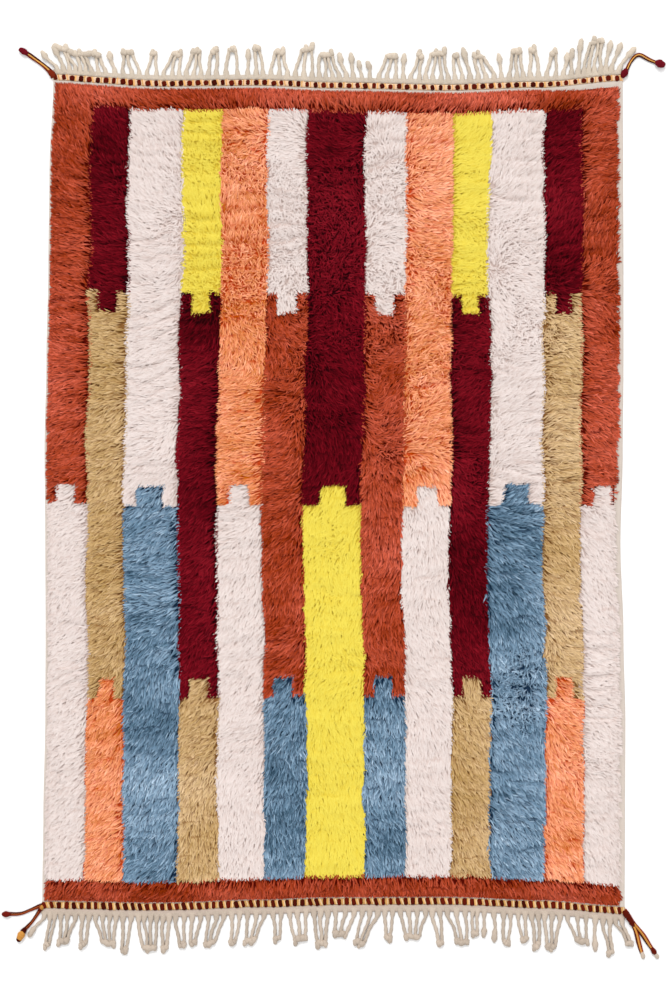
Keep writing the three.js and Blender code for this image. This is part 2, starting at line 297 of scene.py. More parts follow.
def node(tree, kind, settings=None, **links):
    made = tree.nodes.new("ShaderNode" + kind)
    for key, value in (settings or {}).items():
        if hasattr(made, key):
            setattr(made, key, value)
        else:
            made.inputs[key].default_value = value
    for key, source in links.items():
        tree.links.new(source, made.inputs[key])
    return made


def mathNode(tree, operation, first, second):
    made = node(tree, "Math", {"operation": operation})
    for socket, value in zip(made.inputs, (first, second)):
        if isinstance(value, (int, float)):
            socket.default_value = value
        else:
            tree.links.new(value, socket)
    return made.outputs[0]


def woolFibreGroup():
    # yarn that differs from lock to lock, is darker and deeper in colour towards its root (painted shade deep
    # in the pile), and has fine fibres
    group, inp, out = newGroup("woolFibre", {
        "Tip Colour": (0.5, 0.5, 0.5, 1), "Shaded Root Colour": (0.3, 0.3, 0.3, 1), "Lock Spread": 0.2,
        "Fibre Scale": 700.0, "Fleck": 0.2, "Crease Shade": 0.0, "Fade": 0.0,
    }, ["Colour", "Height"])
    shade, along = (node(group, "Attribute", {"attribute_name": name}).outputs["Fac"]
                    for name in ("shade", "along"))
    place = node(group, "TexCoord").outputs["Object"]
    fibre = node(group, "TexNoise", {"Detail": 3.0, "Roughness": 0.6},
                 Vector=place, Scale=inp["Fibre Scale"]).outputs["Fac"]
    # painted shade: from the tip down towards the root the colour goes over to the darker root colour
    depth = node(group, "MapRange", {"From Min": 0.1, "From Max": 0.8}, Value=along).outputs["Result"]
    crease = node(group, "Group", {"node_tree": creaseShadeLines}).outputs["Mask"]
    # painted shade: on the crease lines the colour goes over to the darker root colour
    outsideCreaseShade = mathNode(group, "SUBTRACT", 1.0, mathNode(group, "MULTIPLY", crease, inp["Crease Shade"]))
    depth = mathNode(group, "MULTIPLY", depth, outsideCreaseShade)
    dyed = node(group, "Mix", {"data_type": "RGBA"})
    for socket, source in ((0, depth), (6, inp["Shaded Root Colour"]), (7, inp["Tip Colour"])):
        group.links.new(source, dyed.inputs[socket])
    spread = mathNode(group, "MULTIPLY", shade, inp["Lock Spread"])
    fleck = mathNode(group, "MULTIPLY", mathNode(group, "SUBTRACT", fibre, 0.5), inp["Fleck"])
    change = mathNode(group, "ADD", spread, fleck)
    # lighter locks are paler
    faded = mathNode(group, "SUBTRACT", 1.0, mathNode(group, "MULTIPLY", change, inp["Fade"]))
    lightness = mathNode(group, "ADD", change, 1.0)
    tone = node(group, "HueSaturation", Color=dyed.outputs[2], Value=lightness, Saturation=faded)
    group.links.new(tone.outputs["Color"], out["Colour"])
    group.links.new(fibre, out["Height"])
    return group


def creaseShadeLinesGroup():
    # thin lines across the pile, where rows of knots part for a short way; a mask for painted shade there
    group, inp, out = newGroup("creaseShadeLines", {"Lines": 14.0, "Stray": 7.0, "Ragged": 0.006}, ["Mask"])
    place = node(group, "TexCoord").outputs["Object"]
    shade = node(group, "Attribute", {"attribute_name": "shade"}).outputs["Fac"]
    # each lock breaks the line at its own place
    offset = mathNode(group, "MULTIPLY", shade, inp["Ragged"])
    step = node(group, "CombineXYZ", Y=offset).outputs["Vector"]
    ragged = node(group, "VectorMath", {"operation": "ADD"})
    for socket, source in zip(ragged.inputs, (place, step)):
        group.links.new(source, socket)
    place = ragged.outputs["Vector"]
    wide, patch = (node(group, "Mapping", {"Scale": scale}, Vector=place).outputs["Vector"]
                   for scale in ((0.8, 1, 1), (17, 38, 1)))
    wave = node(group, "TexWave", {"bands_direction": "Y", "Detail": 3.0, "Detail Scale": 0.8},
                Vector=wide, Scale=inp["Lines"], Distortion=inp["Stray"]).outputs["Fac"]
    patches = node(group, "TexNoise", {"Scale": 1.0, "Detail": 2.0}, Vector=patch).outputs["Fac"]
    patchy = mathNode(group, "MULTIPLY", mathNode(group, "SUBTRACT", patches, 0.5), 1.2)
    swell = mathNode(group, "ADD", wave, patchy)
    line = node(group, "MapRange", {"From Min": 0.97, "From Max": 1.2}, Value=swell)
    group.links.new(line.outputs["Result"], out["Mask"])
    return group


def plainWeaveGroup():
    # over-and-under threads, drawn from two crossing waves
    group, inp, out = newGroup("plainWeave", {
        "Thread Colour": (0.8, 0.8, 0.8, 1), "Threads": 300.0, "Gap Shade": 0.7,
    }, ["Colour", "Height"])
    place = node(group, "TexCoord").outputs["Object"]
    straying = {"Distortion": 1.2, "Detail": 1.5, "Detail Scale": 2.0}
    waves = [node(group, "TexWave", {"bands_direction": axis, **straying},
                  Vector=place, Scale=inp["Threads"]).outputs["Fac"] for axis in ("X", "Y")]
    weave = mathNode(group, "ADD", mathNode(group, "MULTIPLY", waves[0], 0.4),
                     mathNode(group, "MULTIPLY", waves[1], 0.6))
    blotch = node(group, "TexNoise", {"Scale": 35.0, "Detail": 4.0}, Vector=place).outputs["Fac"]
    depth = node(group, "MapRange", {"To Max": 1.04}, Value=weave)
    group.links.new(inp["Gap Shade"], depth.inputs["To Min"])
    soft = mathNode(group, "ADD", mathNode(group, "MULTIPLY", blotch, 0.16), 0.92)
    tone = node(group, "HueSaturation", Color=inp["Thread Colour"],
                Value=mathNode(group, "MULTIPLY", depth.outputs["Result"], soft))
    group.links.new(tone.outputs["Color"], out["Colour"])
    group.links.new(weave, out["Height"])
    return group


creaseShadeLines = creaseShadeLinesGroup()
woolFibre = woolFibreGroup()
plainWeave = plainWeaveGroup()


def newMaterial(name, roughness, specular):
    material = bpy.data.materials.new(name)
    material.use_nodes = True
    shader = material.node_tree.nodes["Principled BSDF"]
    shader.inputs["Roughness"].default_value = roughness
    shader.inputs["Specular IOR Level"].default_value = specular
    return material, shader


def finish(name, group, values, roughness, bump, bumpDistance):
    material, shader = newMaterial(name, roughness, specular=0.06)
    tree = material.node_tree
    look = node(tree, "Group", {"node_tree": group, **values})
    relief = node(tree, "Bump", {"Strength": bump, "Distance": bumpDistance},
                  Height=look.outputs["Height"])
    tree.links.new(look.outputs["Colour"], shader.inputs["Base Color"])
    tree.links.new(relief.outputs["Normal"], shader.inputs["Normal"])
    return material


# root: the darker colour towards a lock's root, painted shade deep in the pile; the tip colour if not given
def woolFinish(name, tip, root=None, spread=0.12, crease=0.0, fibreScale=700.0, fleck=0.2, fade=0.0):
    values = {"Tip Colour": linear(tip), "Shaded Root Colour": linear(root or tip), "Lock Spread": spread,
              "Crease Shade": crease, "Fibre Scale": fibreScale, "Fleck": fleck, "Fade": fade}
    return finish(name, woolFibre, values, roughness=0.95, bump=0.3, bumpDistance=0.001)


# crease: how much painted shade the crease lines get
pileFinish = {name: woolFinish(name + "Wool", yarn["tip"], yarn["root"], yarn["spread"],
                               crease=0.7, fade=yarn["fade"])
              for name, yarn in yarns.items()}


def byEnd(make, name, far, near, **values):
    return {end: make(name + "_" + end, colour, **values) for end, colour in (("far", far), ("near", near))}


# the near copy is darker than the far one: painted shade, as the light comes from the far end
cottonCordLitAndShaded = byEnd(woolFinish, "cottonCordLitAndShaded", (199, 185, 168), (184, 169, 154),
                   spread=0.08, fibreScale=330.0, fleck=0.5)
goldYarn = byEnd(woolFinish, "goldYarn", (219, 167, 102), (212, 164, 98), spread=0.14)
creamYarn = byEnd(woolFinish, "creamYarn", (225, 191, 158), (222, 192, 150), spread=0.08)
cordDyes = [  # name, colour, spread, fleck
    ("brown", (82, 18, 6), 0.45, 0.2), ("madder", (98, 20, 13), 0.12, 0.2),
    ("amber", (226, 166, 84), 0.14, 0.2), ("knob", (100, 14, 26), 0.12, 0.2),
    ("redBrown", (124, 40, 20), 0.2, 0.2), ("tawny", (150, 74, 36), 0.2, 0.2),
    ("ochre", (198, 138, 66), 0.2, 0.6),
]
cordYarns = {name: woolFinish(name + "Yarn", colour, spread=spread, fleck=fleck)
             for name, colour, spread, fleck in cordDyes}


def weaveFinish(name, colour, threads=260.0, gapShade=0.8, bump=0.5, bumpDistance=0.0008, roughness=0.9):
    values = {"Thread Colour": linear(colour), "Threads": threads, "Gap Shade": gapShade}
    return finish(name, plainWeave, values, roughness, bump, bumpDistance)


cottonWeave = weaveFinish("cottonWeave", (213, 200, 189))
# the near copy is darker than the far one: painted shade, as the light comes from the far end
cottonStripLitAndShaded = byEnd(weaveFinish, "cottonStripLitAndShaded", (208, 195, 180), (197, 179, 165))
print("finishes made")


# camera, straight above the rug

view = {"lens": 90, "frameHeight": 2632, "middle": (-1.3, -15.8), "above": 12}
cameraData = bpy.data.cameras.new("camera")
cameraData.lens = view["lens"]
cameraData.sensor_width = 36
camera = addObject("camera", cameraData)
distance = view["frameHeight"] / cameraData.sensor_width * view["lens"]
camera.location = (view["middle"][0] * mm, view["middle"][1] * mm, (view["above"] + distance) * mm)
cameraData.clip_end = 100
scene.camera = camera


# woven ground: selvedges that show along the sides, and a bed for the pile in each yarn's darker root colour
# (painted shade between the locks)

pile = {
    "fieldWidth": 1490, "rowPitch": 4.4, "lockPitch": 4.2, "placeUneven": (0.32, 0.3),  # shares of a pitch
    "inset": {"left": 13, "right": 19, "near": 8, "far": 11},  # of the outermost locks from the ground's edge
    "bed": 14.2, "bedLumps": 2.2, "lumpSize": 64,
    "lift": 3.2, "rise": 1.2,        # of the topmost locks above the lowest, and from root to tip
    "reach": 27, "reachUneven": 0.3, "leastReach": 3, "bend": 0.14,
    "lockWidth": 3.4, "widthUneven": 0.3, "roll": 0.3,
    "fullWidth": (18, 0.6),          # locks shorter than this are narrower, down to this share
    "overlap": (1, 7),               # how far a lock may lie over the next colour
    "edgeDepth": 14, "turnedShare": 0.5, "turnedReach": 0.7,  # locks that turn back at an edge
    "shadeUneven": 0.37, "creaseShade": 0.2, "dyeLot": 150, "rowBandSize": 15,
    "rimClear": {"left": (1.5, 5.5), "right": (9, 13), "near": (1, 4), "far": (3, 7)},
    "rimLeast": {"left": 1, "right": 3, "near": 1, "far": 3},  # both from tips to the ground's edge
    "rimStray": {"left": 3, "right": 8}, "rimTuft": 13,  # the sides are uneven from tuft to tuft
    "rimWidth": 24, "rimDrop": 6,    # over which the bed falls, and the tips
    "overSelvedge": (2, -6), "selvedgeClear": 0.6,  # where tips rise onto its cord, and how far above it
    "seed": 7,
}
nap = {
    "outward": (0.8, 0.75), "outwardSpan": (760, 1080), "bias": (-0.1, -0.25),
    "endTurn": (1.5, 50),            # the end bands lean outwards
    "swirl": 0.45, "swirlSize": 230, "ruffle": 0.3, "ruffleSize": 70,
    "stray": 0.22, "weakLean": 0.5,  # locks go further astray where the lean is weaker than this
    "fullLean": 0.4, "leastReach": 0.6,  # and are shorter below this, down to this share
    "crease": 0.1, "creaseSpacing": 36, "creaseStray": 50, "creaseRagged": 9, "creaseSharp": 3,
    "creaseDip": 0.4, "creaseDepth": 3.0,
}
ground = {
    "columns": 100, "rows": 140,
    "sideBands": [0, 0.12, 0.4, 0.75, 1, 1.4, 1.8], "endBands": [0, 0.5, 1, 1.6],  # in bare widths
    "cordHeight": 5.4, "cordMiddle": 0.42, "cordHalf": 0.58,  # of the cord along each selvedge
    "knottedFrom": 1.25,             # up to there the cotton shows between the tufts
}


def toEdges(x, y, kept):
    # from a place to the sides and to the middles of the edgings, less what is kept clear there
    return (x - sideAt("left", y) - kept["left"], sideAt("right", y) - x - kept["right"],
            y - endAt("near", x) - kept["near"], endAt("far", x) - y - kept["far"])


def fromRim(x, y):
    # how far a place is from the nearest edge of the knotted field
    left, right, near, far = toEdges(x, y, pile["inset"])
    return np.minimum(np.minimum(left, right), np.minimum(near, far - cornerBare(x)) - bodyEnd)


def bedAt(x, y):
    rim = np.clip(fromRim(x, y) / pile["rimWidth"], 0, 1)
    lumps = (0.6 * smoothNoise(x * 0.6, y * 1.4, pile["lumpSize"], 31)
             + smoothNoise(x * 0.4, y * 1.2, pile["lumpSize"] / 2.3, 32))  # wider than they are long
    return rug["groundThick"] + (pile["bed"] - rug["groundThick"] + pile["bedLumps"] * lumps) * np.sqrt(rim)


def creaseAt(x, y):
    # rows of knots part here and there: the wave they follow, where it is broken off, and how deep it is
    strayed = y + nap["creaseStray"] * smoothNoise(x, y, 170, 25)
    strayed = strayed + nap["creaseRagged"] * smoothNoise(x, y, 45, 26)
    phase = strayed / nap["creaseSpacing"] * 2 * np.pi
    broken = np.clip(smoothNoise(x, y * 2, 110, 27) * 2.2 + 0.25, 0, 1)
    return phase, broken, broken * np.exp(-(1 - np.cos(phase)) * nap["creaseSharp"])


def pileSurface(x, y):
    # what the locks lie on: the bed, and furrows where rows part
    inside = np.clip(fromRim(x, y) / pile["rimDrop"], 0, 1)
    return bedAt(x, y) - nap["creaseDepth"] * creaseAt(x, y)[2] * inside


def shares(count, first, last, bands):
    # places from 0 to 1: evenly spaced, and closer together within the bare ground at both ends
    even = np.linspace(0, 1, count + 1)
    even = even[(even > first * bands[-1] * 1.2) & (even < 1 - last * bands[-1] * 1.2)]
    return np.concatenate([first * np.array(bands), even, 1 - last * np.array(bands[::-1])])


def makeGround():
    bare = rug["bare"]
    bareLeft, bareRight = (bare[side] / rug["width"] for side in ("left", "right"))
    bareNear, bareFar = (bare[end] / rug["length"] for end in ("near", "far"))
    u, v = np.meshgrid(shares(ground["columns"], bareLeft, bareRight, ground["sideBands"]),
                       shares(ground["rows"], bareNear, bareFar, ground["endBands"]))
    x, y = onRug(u, v, dict.fromkeys(bare, 0))
    fromSide = np.minimum(u / bareLeft, (1 - u) / bareRight)  # 1 where the pile begins
    fromEnd = np.minimum(v / bareNear, (1 - v) / (bareFar + cornerBare(x) / rug["length"]))
    cord = np.clip(1 - np.abs(fromSide - ground["cordMiddle"]) / ground["cordHalf"], 0, 1) ** 0.5
    # the bed stays under the locks
    under = nap["creaseDepth"] * np.clip(fromRim(x, y) / pile["rimWidth"], 0, 1)
    top = bedAt(x, y) - under + (ground["cordHeight"] - rug["groundThick"]) * cord
    top = np.where(fromSide <= 0, rug["groundThick"] * 0.7, top)
    rows, cols = u.shape
    points = np.concatenate([np.stack([x, y, z], -1).reshape(-1, 3) for z in (top, np.zeros_like(top))])
    i, j = np.meshgrid(np.arange(rows - 1), np.arange(cols - 1), indexing="ij")
    a = (i * cols + j).ravel()
    upper = np.stack([a, a + 1, a + cols + 1, a + cols], 1)
    lower = upper[:, ::-1] + rows * cols
    rimLine = np.concatenate([np.arange(cols), np.arange(1, rows) * cols + cols - 1,
                              (rows - 1) * cols + np.arange(cols - 2, -1, -1),
                              np.arange(rows - 2, 0, -1) * cols])
    after = np.roll(rimLine, -1)
    wall = np.stack([rimLine, rimLine + rows * cols, after + rows * cols, after], 1)
    yarn = yarnAt(x.ravel()[upper].mean(1), y.ravel()[upper].mean(1))
    knotted = np.minimum(fromSide, fromEnd).ravel()[upper].mean(1) > ground["knottedFrom"]
    slot = np.where(knotted, yarn + 1, 0)
    index = np.concatenate([np.where(slot > 0, slot + len(yarnNames), 0), slot, np.zeros(len(wall))])
    backs = [weaveFinish(name + "Back", yarn["tip"], threads=170.0, gapShade=0.55, bump=0.8,
                         bumpDistance=0.0015, roughness=0.95) for name, yarn in yarns.items()]
    # the bed shows each yarn's darker root colour: painted shade between the locks
    beds = [woolFinish(name + "Roots", yarn["root"], fibreScale=240.0, fleck=0.6)
            for name, yarn in yarns.items()]
    faces = np.concatenate([upper, lower, wall])
    piece = meshPiece("rug_ground", points, [faces], [cottonWeave] + backs + beds, index)
    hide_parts("rug_body")
    return piece


rugGround = makeGround()
print("ground woven:", len(rugGround.data.polygons), "faces")


# pile: wool locks knotted in rows and lying over one another, one piece for each yarn

def lockRoots(rng):
    rows = int(rug["length"] / pile["rowPitch"])
    perRow = int(pile["fieldWidth"] / pile["lockPitch"])
    row, place = np.meshgrid(np.arange(rows), np.arange(perRow), indexing="ij")
    row, place = row.ravel(), place.ravel()
    aside, ahead = pile["placeUneven"]
    across = (place + 0.5 + 0.5 * (row % 2 - 0.5) + rng.uniform(-aside, aside, len(row))) / perRow
    along = (row + 0.5 + rng.uniform(-ahead, ahead, len(row))) / rows
    return onRug(np.clip(across, 0, 1), along, pile["inset"])


def napAt(x, y, rng):
    # which way the locks lean, how surely, and how deep they lie in a crease
    leanX, leanY = (nap["outward"][k] * place / nap["outwardSpan"][k] + nap["bias"][k]
                    + nap["swirl"] * smoothNoise(x, y, nap["swirlSize"], 21 + k)
                    + nap["ruffle"] * smoothNoise(x, y, nap["ruffleSize"], 23 + k)
                    for k, place in enumerate((x, y)))
    turn, depth = nap["endTurn"]
    leanY = leanY + turn * (np.exp((y - endAt("far", x)) / depth) - np.exp((endAt("near", x) - y) / depth))
    phase, broken, crease = creaseAt(x, y)
    leanY = leanY + nap["crease"] * broken * np.sin(phase)
    size = np.maximum(np.hypot(leanX, leanY), 1e-6)
    turn = rng.normal(0, 1, len(x)) * (nap["stray"] + np.clip(1 - size / nap["weakLean"], 0, 1))
    headX, headY = leanX / size, leanY / size
    return (headX * np.cos(turn) - headY * np.sin(turn), headX * np.sin(turn) + headY * np.cos(turn),
            np.clip(size / nap["fullLean"], nap["leastReach"], 1), crease)


def lockReach(x, y, headX, headY, strength, yarn, rng):
    # locks stop short of the selvedges and edgings, and soon after they meet another colour
    count = len(x)
    reach = pile["reach"] * strength * (1 + pile["reachUneven"] * rng.uniform(-1, 1, count))
    overlap = rng.uniform(*pile["overlap"], count)
    for share in (1, 0.8, 0.6, 0.4, 0.2):
        crossed = yarnAt(x + reach * share * headX, y + reach * share * headY) != yarn
        reach = np.where(crossed, np.minimum(reach, reach * (share - 0.1) + overlap), reach)
    clear = {side: rng.uniform(*span, count) for side, span in pile["rimClear"].items()}
    for side in ("left", "right"):
        tufts = smoothNoise(y, x * 0 + outward[side] * 50, pile["rimTuft"], 34)
        clear[side] += pile["rimStray"][side] * tufts
    clear["far"] += cornerBare(x)
    left, right, near, far = toEdges(x, y, clear)
    roomX = np.where(headX < 0, left, right)
    roomY = np.where(headY < 0, near, far) - bodyEnd
    for room, head in ((roomX, headX), (roomY, headY)):
        reach = np.minimum(reach, np.maximum(room, pile["leastReach"]) / np.maximum(np.abs(head), 1e-3))
    return reach


def makePile():
    rng = np.random.default_rng(pile["seed"])
    x, y = lockRoots(rng)
    count = len(x)
    yarn = yarnAt(x, y)
    loft, abrash, rows = (np.array([yarns[name][key] for name in yarnNames])[yarn]
                          for key in ("loft", "abrash", "rows"))
    headX, headY, strength, crease = napAt(x, y, rng)
    behindX, behindY = x - pile["edgeDepth"] * headX, y - pile["edgeDepth"] * headY
    atEdge = (yarnAt(behindX, behindY) != yarn) | (fromRim(behindX, behindY) < 0)
    # some locks turn back, so that edges are covered from both sides
    turned = np.where(atEdge & (rng.uniform(0, 1, count) < pile["turnedShare"]), -1, 1)
    headX, headY = headX * turned, headY * turned
    reach = lockReach(x, y, headX, headY, strength, yarn, rng) * np.where(turned < 0, pile["turnedReach"], 1)
    layer = rng.uniform(0, 1, count) * (1 - nap["creaseDip"] * crease)
    fullReach, leastWidth = pile["fullWidth"]
    width = pile["lockWidth"] * (1 + pile["widthUneven"] * rng.uniform(-1, 1, count))
    width = width * np.clip(reach / fullReach, leastWidth, 1)
    bend = pile["bend"] * rng.normal(0, 1, count) * reach
    roll = np.tan(np.clip(rng.normal(0, pile["roll"], count), -0.8, 0.8))
    shade = np.clip(rng.normal(0, pile["shadeUneven"], count), -1, 1)
    # creaseShade darkens locks in a crease: painted shade
    shade = shade + abrash * smoothNoise(x, y, pile["dyeLot"], 33) - pile["creaseShade"] * crease
    # lighter and darker bands across the pile
    shade = shade + rows * smoothNoise(x * 0.2, y, pile["rowBandSize"], 35)
    for end, change in design["bandShade"].items():
        fromEnd = outward[end] * (endAt(end, x) - y) - bodyEnd - rug["bare"][end]
        shade = shade + change * (fromEnd < design["endBand"])

    overCord = ground["cordHeight"] - rug["groundThick"] + pile["selvedgeClear"]

    def at(out):
        px = x + reach * headX * out - headY * bend * out * out
        py = y + reach * headY * out + headX * bend * out * out
        clear = pile["rimLeast"]
        px = np.clip(px, sideAt("left", py) + clear["left"], sideAt("right", py) - clear["right"])
        nearest, farthest = endAt("near", px) + bodyEnd, endAt("far", px) - bodyEnd
        py = np.clip(py, nearest + clear["near"], farthest - clear["far"])
        rim = fromRim(px, py)
        inside = np.clip(rim / pile["rimDrop"], 0, 1)  # tips over the edge hang down, onto the selvedge
        under = pileSurface(px, py) + overCord * smooth(*pile["overSelvedge"], rim)
        above = loft * (pile["lift"] * layer * min(1, out / 0.35) + pile["rise"] * out) - 0.8 * (out == 0)
        return np.stack([px, py, under + above * (0.4 + 0.6 * inside)], 1)

    def section(out, share):
        middle = at(out)
        edges = [pileSurface(middle[:, 0] - side * headY, middle[:, 1] + side * headX) for side in (-2, 2)]
        slope = (edges[1] - edges[0]) / 4  # a lock lies with what is under it
        beside = np.stack([-headY, headX, roll * loft + slope], 1) * (width * share / 2)[:, None]
        return [middle + beside, middle - beside]

    points = np.stack([at(0)] + section(0.36, 1) + section(0.74, 0.85) + [at(1)], 1)
    layerShade = 0.5 + 0.5 * layer  # painted shade: the lowest locks show more of the darker root colour
    along = np.array([0.0, 0.65, 0.65, 0.9, 0.9, 1.0])[None] * layerShade[:, None]
    along = np.maximum(along, 0.6 * atEdge[:, None])  # roots at an edge are seen, and get less of the painted shade
    tris = np.array([(0, 2, 1), (1, 2, 3), (2, 4, 3), (5, 3, 4)])
    pieces = []
    for number, name in enumerate(yarnNames):
        for side, half in (("left", x < 0), ("right", x >= 0)):
            chosen = np.flatnonzero((yarn == number) & half)
            base = (np.arange(len(chosen)) * points.shape[1])[:, None, None]
            numbers = {"shade": np.repeat(shade[chosen], points.shape[1]), "along": along[chosen].ravel()}
            piece = meshPiece("pile_" + name + "_" + side, points[chosen].reshape(-1, 3),
                              [(base + tris).reshape(-1, 3)], [pileFinish[name]], numbers=numbers)
            pieces.append(piece)
        print("pile", name, (yarn == number).sum(), "locks")
    return pieces


pilePieces = makePile()


# twined edgings: brown and gold yarn wrapped in turn over a cord

edging = {
    "core": (7.6, 2.0),  # half width and half height
    # wraps of each colour: half length and height
    "far": {"wraps": 68, "brownShare": 0.58, "brown": (5.3, 4.4), "gold": (7.2, 3.4),
            "slant": 0.1, "leftLarger": 0.14},
    "near": {"wraps": 79, "brownShare": 0.57, "brown": (8.1, 4.8), "gold": (8.4, 4.0),
             "slant": 0.16, "leftLarger": 0.0},
    "squareness": 12,
    "uneven": {"slant": 0.24, "place": 0.06, "reach": 0.13, "width": 0.2, "out": 0.9},  # from wrap to wrap
    "sideYarn": 1.3,  # a gold thread along the near edging, beside the pile
}


def makeEdging(end):
    shape = edging[end]
    share = np.linspace(0, 1, 2 * shape["wraps"] + 1)
    x = alongEnd(end, share)
    wide, high = (np.full(len(x), size) for size in edging["core"])
    parts = [tube(np.stack([x, endAt(end, x), high + 0.6], 1), wide, high, 8, 2 if end == "far" else 1)]
    if end == "near":
        thread = np.full(len(x), edging["sideYarn"])
        lift = 3.4 + 0.9 * np.cos(np.arange(len(x)) * np.pi)
        beside = endAt(end, x) + rug["edging"] / 2 - edging["sideYarn"]
        parts.append(tube(np.stack([x, beside, lift], 1), thread, thread, sides=6, material=1))
    pitch = (x[-1] - x[0]) / shape["wraps"]
    t = np.array([-1, -0.93, -0.75, -0.4, 0, 0.4, 0.75, 0.93, 1])
    square = np.sqrt(np.maximum(1 - np.abs(t) ** edging["squareness"], 0.1))
    brown, gold = shape["brownShare"], 1 - shape["brownShare"]
    wraps = [("brown", 0, brown / 2, brown),  # colour, material, middle and room as shares of the pitch
             ("gold", 1, brown + gold * 0.27, gold * 0.5),
             ("gold", 2, brown + gold * 0.73, gold * 0.5)]
    stray = edging["uneven"]
    for i in range(shape["wraps"]):
        slant = shape["slant"] + stray["slant"] * uneven(i, 6)
        for colour, yarn, offset, room in wraps:
            middle = x[0] + (i + offset + stray["place"] * uneven(i, 3)) * pitch
            reach, height = shape[colour]
            larger = shape["leftLarger"] * (1 - smooth(0.05, 0.4, i / shape["wraps"]))
            reach *= 1 + stray["reach"] * uneven(i, 5) + larger
            over = endAt(end, middle) + t * reach + stray["out"] * uneven(i, 8)
            path = np.stack([middle - slant * t * reach, over, height * (0.35 + 0.55 * square)], 1)
            wide = pitch * room * 0.53 * (1 + stray["width"] * uneven(i, 7)) * square
            parts.append(tube(path, wide, height * 0.8 * square, 8, yarn, plies=3, turn=0.35, plyDepth=0.08))
    piece = joinParts("edging_wraps_" + end, parts, [cordYarns["brown"], goldYarn[end], creamYarn[end]])
    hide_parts("edging_" + end)
    return piece


edgings = [makeEdging(end) for end in ("far", "near")]
print("edgings twined")


# fringes: a woven strip with twisted warp cords that are knotted together

fringe = {
    "rootDepth": 9, "radius": 4.9, "flare": 1.6, "flareShare": 0.22,
    "spacing": {"share": 0.75, "min": 13.8, "max": 20},  # of a knot's cords, as a share of their room
    "knot": 8.8, "knotLength": 13, "tail": 13, "uneven": 4, "drawIn": 0.74, "sag": 5, "wave": 1.8,
    "chain": {"far": range(2, 5), "near": []},  # knots that are tied to the next one on their left
    "cordSteps": 22, "knotSteps": 12, "stripPoints": 137,
}
# from left to right: room along the end, cords tied, lean sideways, reach from the edging's middle
fringeKnots = {
    "far": [
        (22, 1, -42, 76), (15, 1, -30, 87), (28, 2, -20, 82), (44, 3, -17, 77), (40, 2, -13, 72),
        (26, 1, -15, 82), (62, 3, -11, 85), (43, 2, 6, 87), (62, 3, 12, 84), (52, 3, 8, 93),
        (47, 2, 5, 92), (59, 2, 0, 97), (24, 1, 0, 91), (38, 2, -8, 97), (62, 3, 0, 90),
        (67, 3, 8, 102), (70, 4, -10, 89), (17, 1, -19, 86), (20, 1, -7, 89), (24, 1, -8, 72),
        (24, 1, -9, 72), (64, 3, 10, 89), (19, 1, 3, 92), (40, 2, 16, 91), (78, 4, 2, 99),
        (36, 2, -9, 93), (23, 1, -19, 106), (62, 3, -19, 89), (20, 1, -9, 88), (56, 3, 0, 93),
        (42, 2, -6, 102), (43, 2, 6, 89), (21, 1, 11, 82), (20, 1, 4, 93), (16, 1, 10, 113),
        (58, 4, 11, 112), (14, 1, 14, 100), (14, 1, 28, 97), (24, 1, 46, 84),
    ],
    "near": [
        (13, 1, -42, 91), (28, 2, -13, 112), (55, 3, -12, 101), (38, 2, -5, 110), (71, 4, 4, 105),
        (42, 2, -9, 122), (66, 4, 3, 114), (31, 2, -3, 117), (43, 2, 5, 110), (43, 2, -9, 106),
        (63, 3, -16, 108), (42, 2, -8, 107), (66, 3, -15, 106), (44, 2, 1, 102), (66, 3, 6, 105),
        (55, 3, 3, 121), (75, 3, -13, 94), (60, 3, -27, 118), (39, 2, -3, 104), (86, 4, 1, 101),
        (38, 2, 12, 116), (71, 3, 14, 111), (28, 2, 0, 92), (24, 1, -4, 96), (26, 1, 0, 103),
        (40, 2, -2, 107), (38, 2, 8, 98), (34, 2, 5, 115), (58, 3, -3, 121), (73, 3, 11, 96),
        (24, 1, 0, 114), (34, 2, 12, 123), (32, 2, 27, 97),
    ],
}


def lyingTube(path, wide, high, plies=2, turn=0.16, plyDepth=0.28):
    path[:, 2] = high * 0.95
    return tube(path, wide, high, 8, 0, plies, turn, plyDepth)


def knotTail(end, x, y, lean, length, seed):
    # the loose end that hangs out of a knot
    out = outward[end]
    aside = lean * 0.12 + 5 * uneven(seed, 21)
    taper = np.array([0.7, 0.95, 1, 0.98, 0.92, 0.82, 0.66, 0.34])
    path = curve([(x, y - out * 5, 0), (x + aside * 0.4, y + out * length * 0.4, 0),
                  (x + aside, y + out * length, 0)], len(taper))
    wide = taper * fringe["knot"] * (0.92 + 0.1 * uneven(seed, 22))
    return lyingTube(path, wide, wide * 0.75)


def knotBar(end, tips, seed):
    # the bound knot that bridges the cords of a group
    out = outward[end]
    first, last = np.array(tips[0]), np.array(tips[-1])
    stray = [4 * uneven(seed, 31 + k) - fringe["sag"] * (k in (1, 2)) for k in range(4)]
    places = [first + (last - first) * s for s in (-0.02, 0.3, 0.7, 1.02)]
    path = curve([(px, py - out * (4 + offset), 0) for (px, py), offset in zip(places, stray)],
                 fringe["knotSteps"])
    t = np.linspace(-1, 1, len(path))
    bound = fringe["knot"] * (0.9 + 0.12 * uneven(seed, 35))
    wide = bound * (1 - t ** 8 * 0.55) * (1 + 0.12 * np.sin(t * 7 + seed))
    return lyingTube(path, wide, wide * 0.78, plies=3, turn=0.1, plyDepth=0.12)


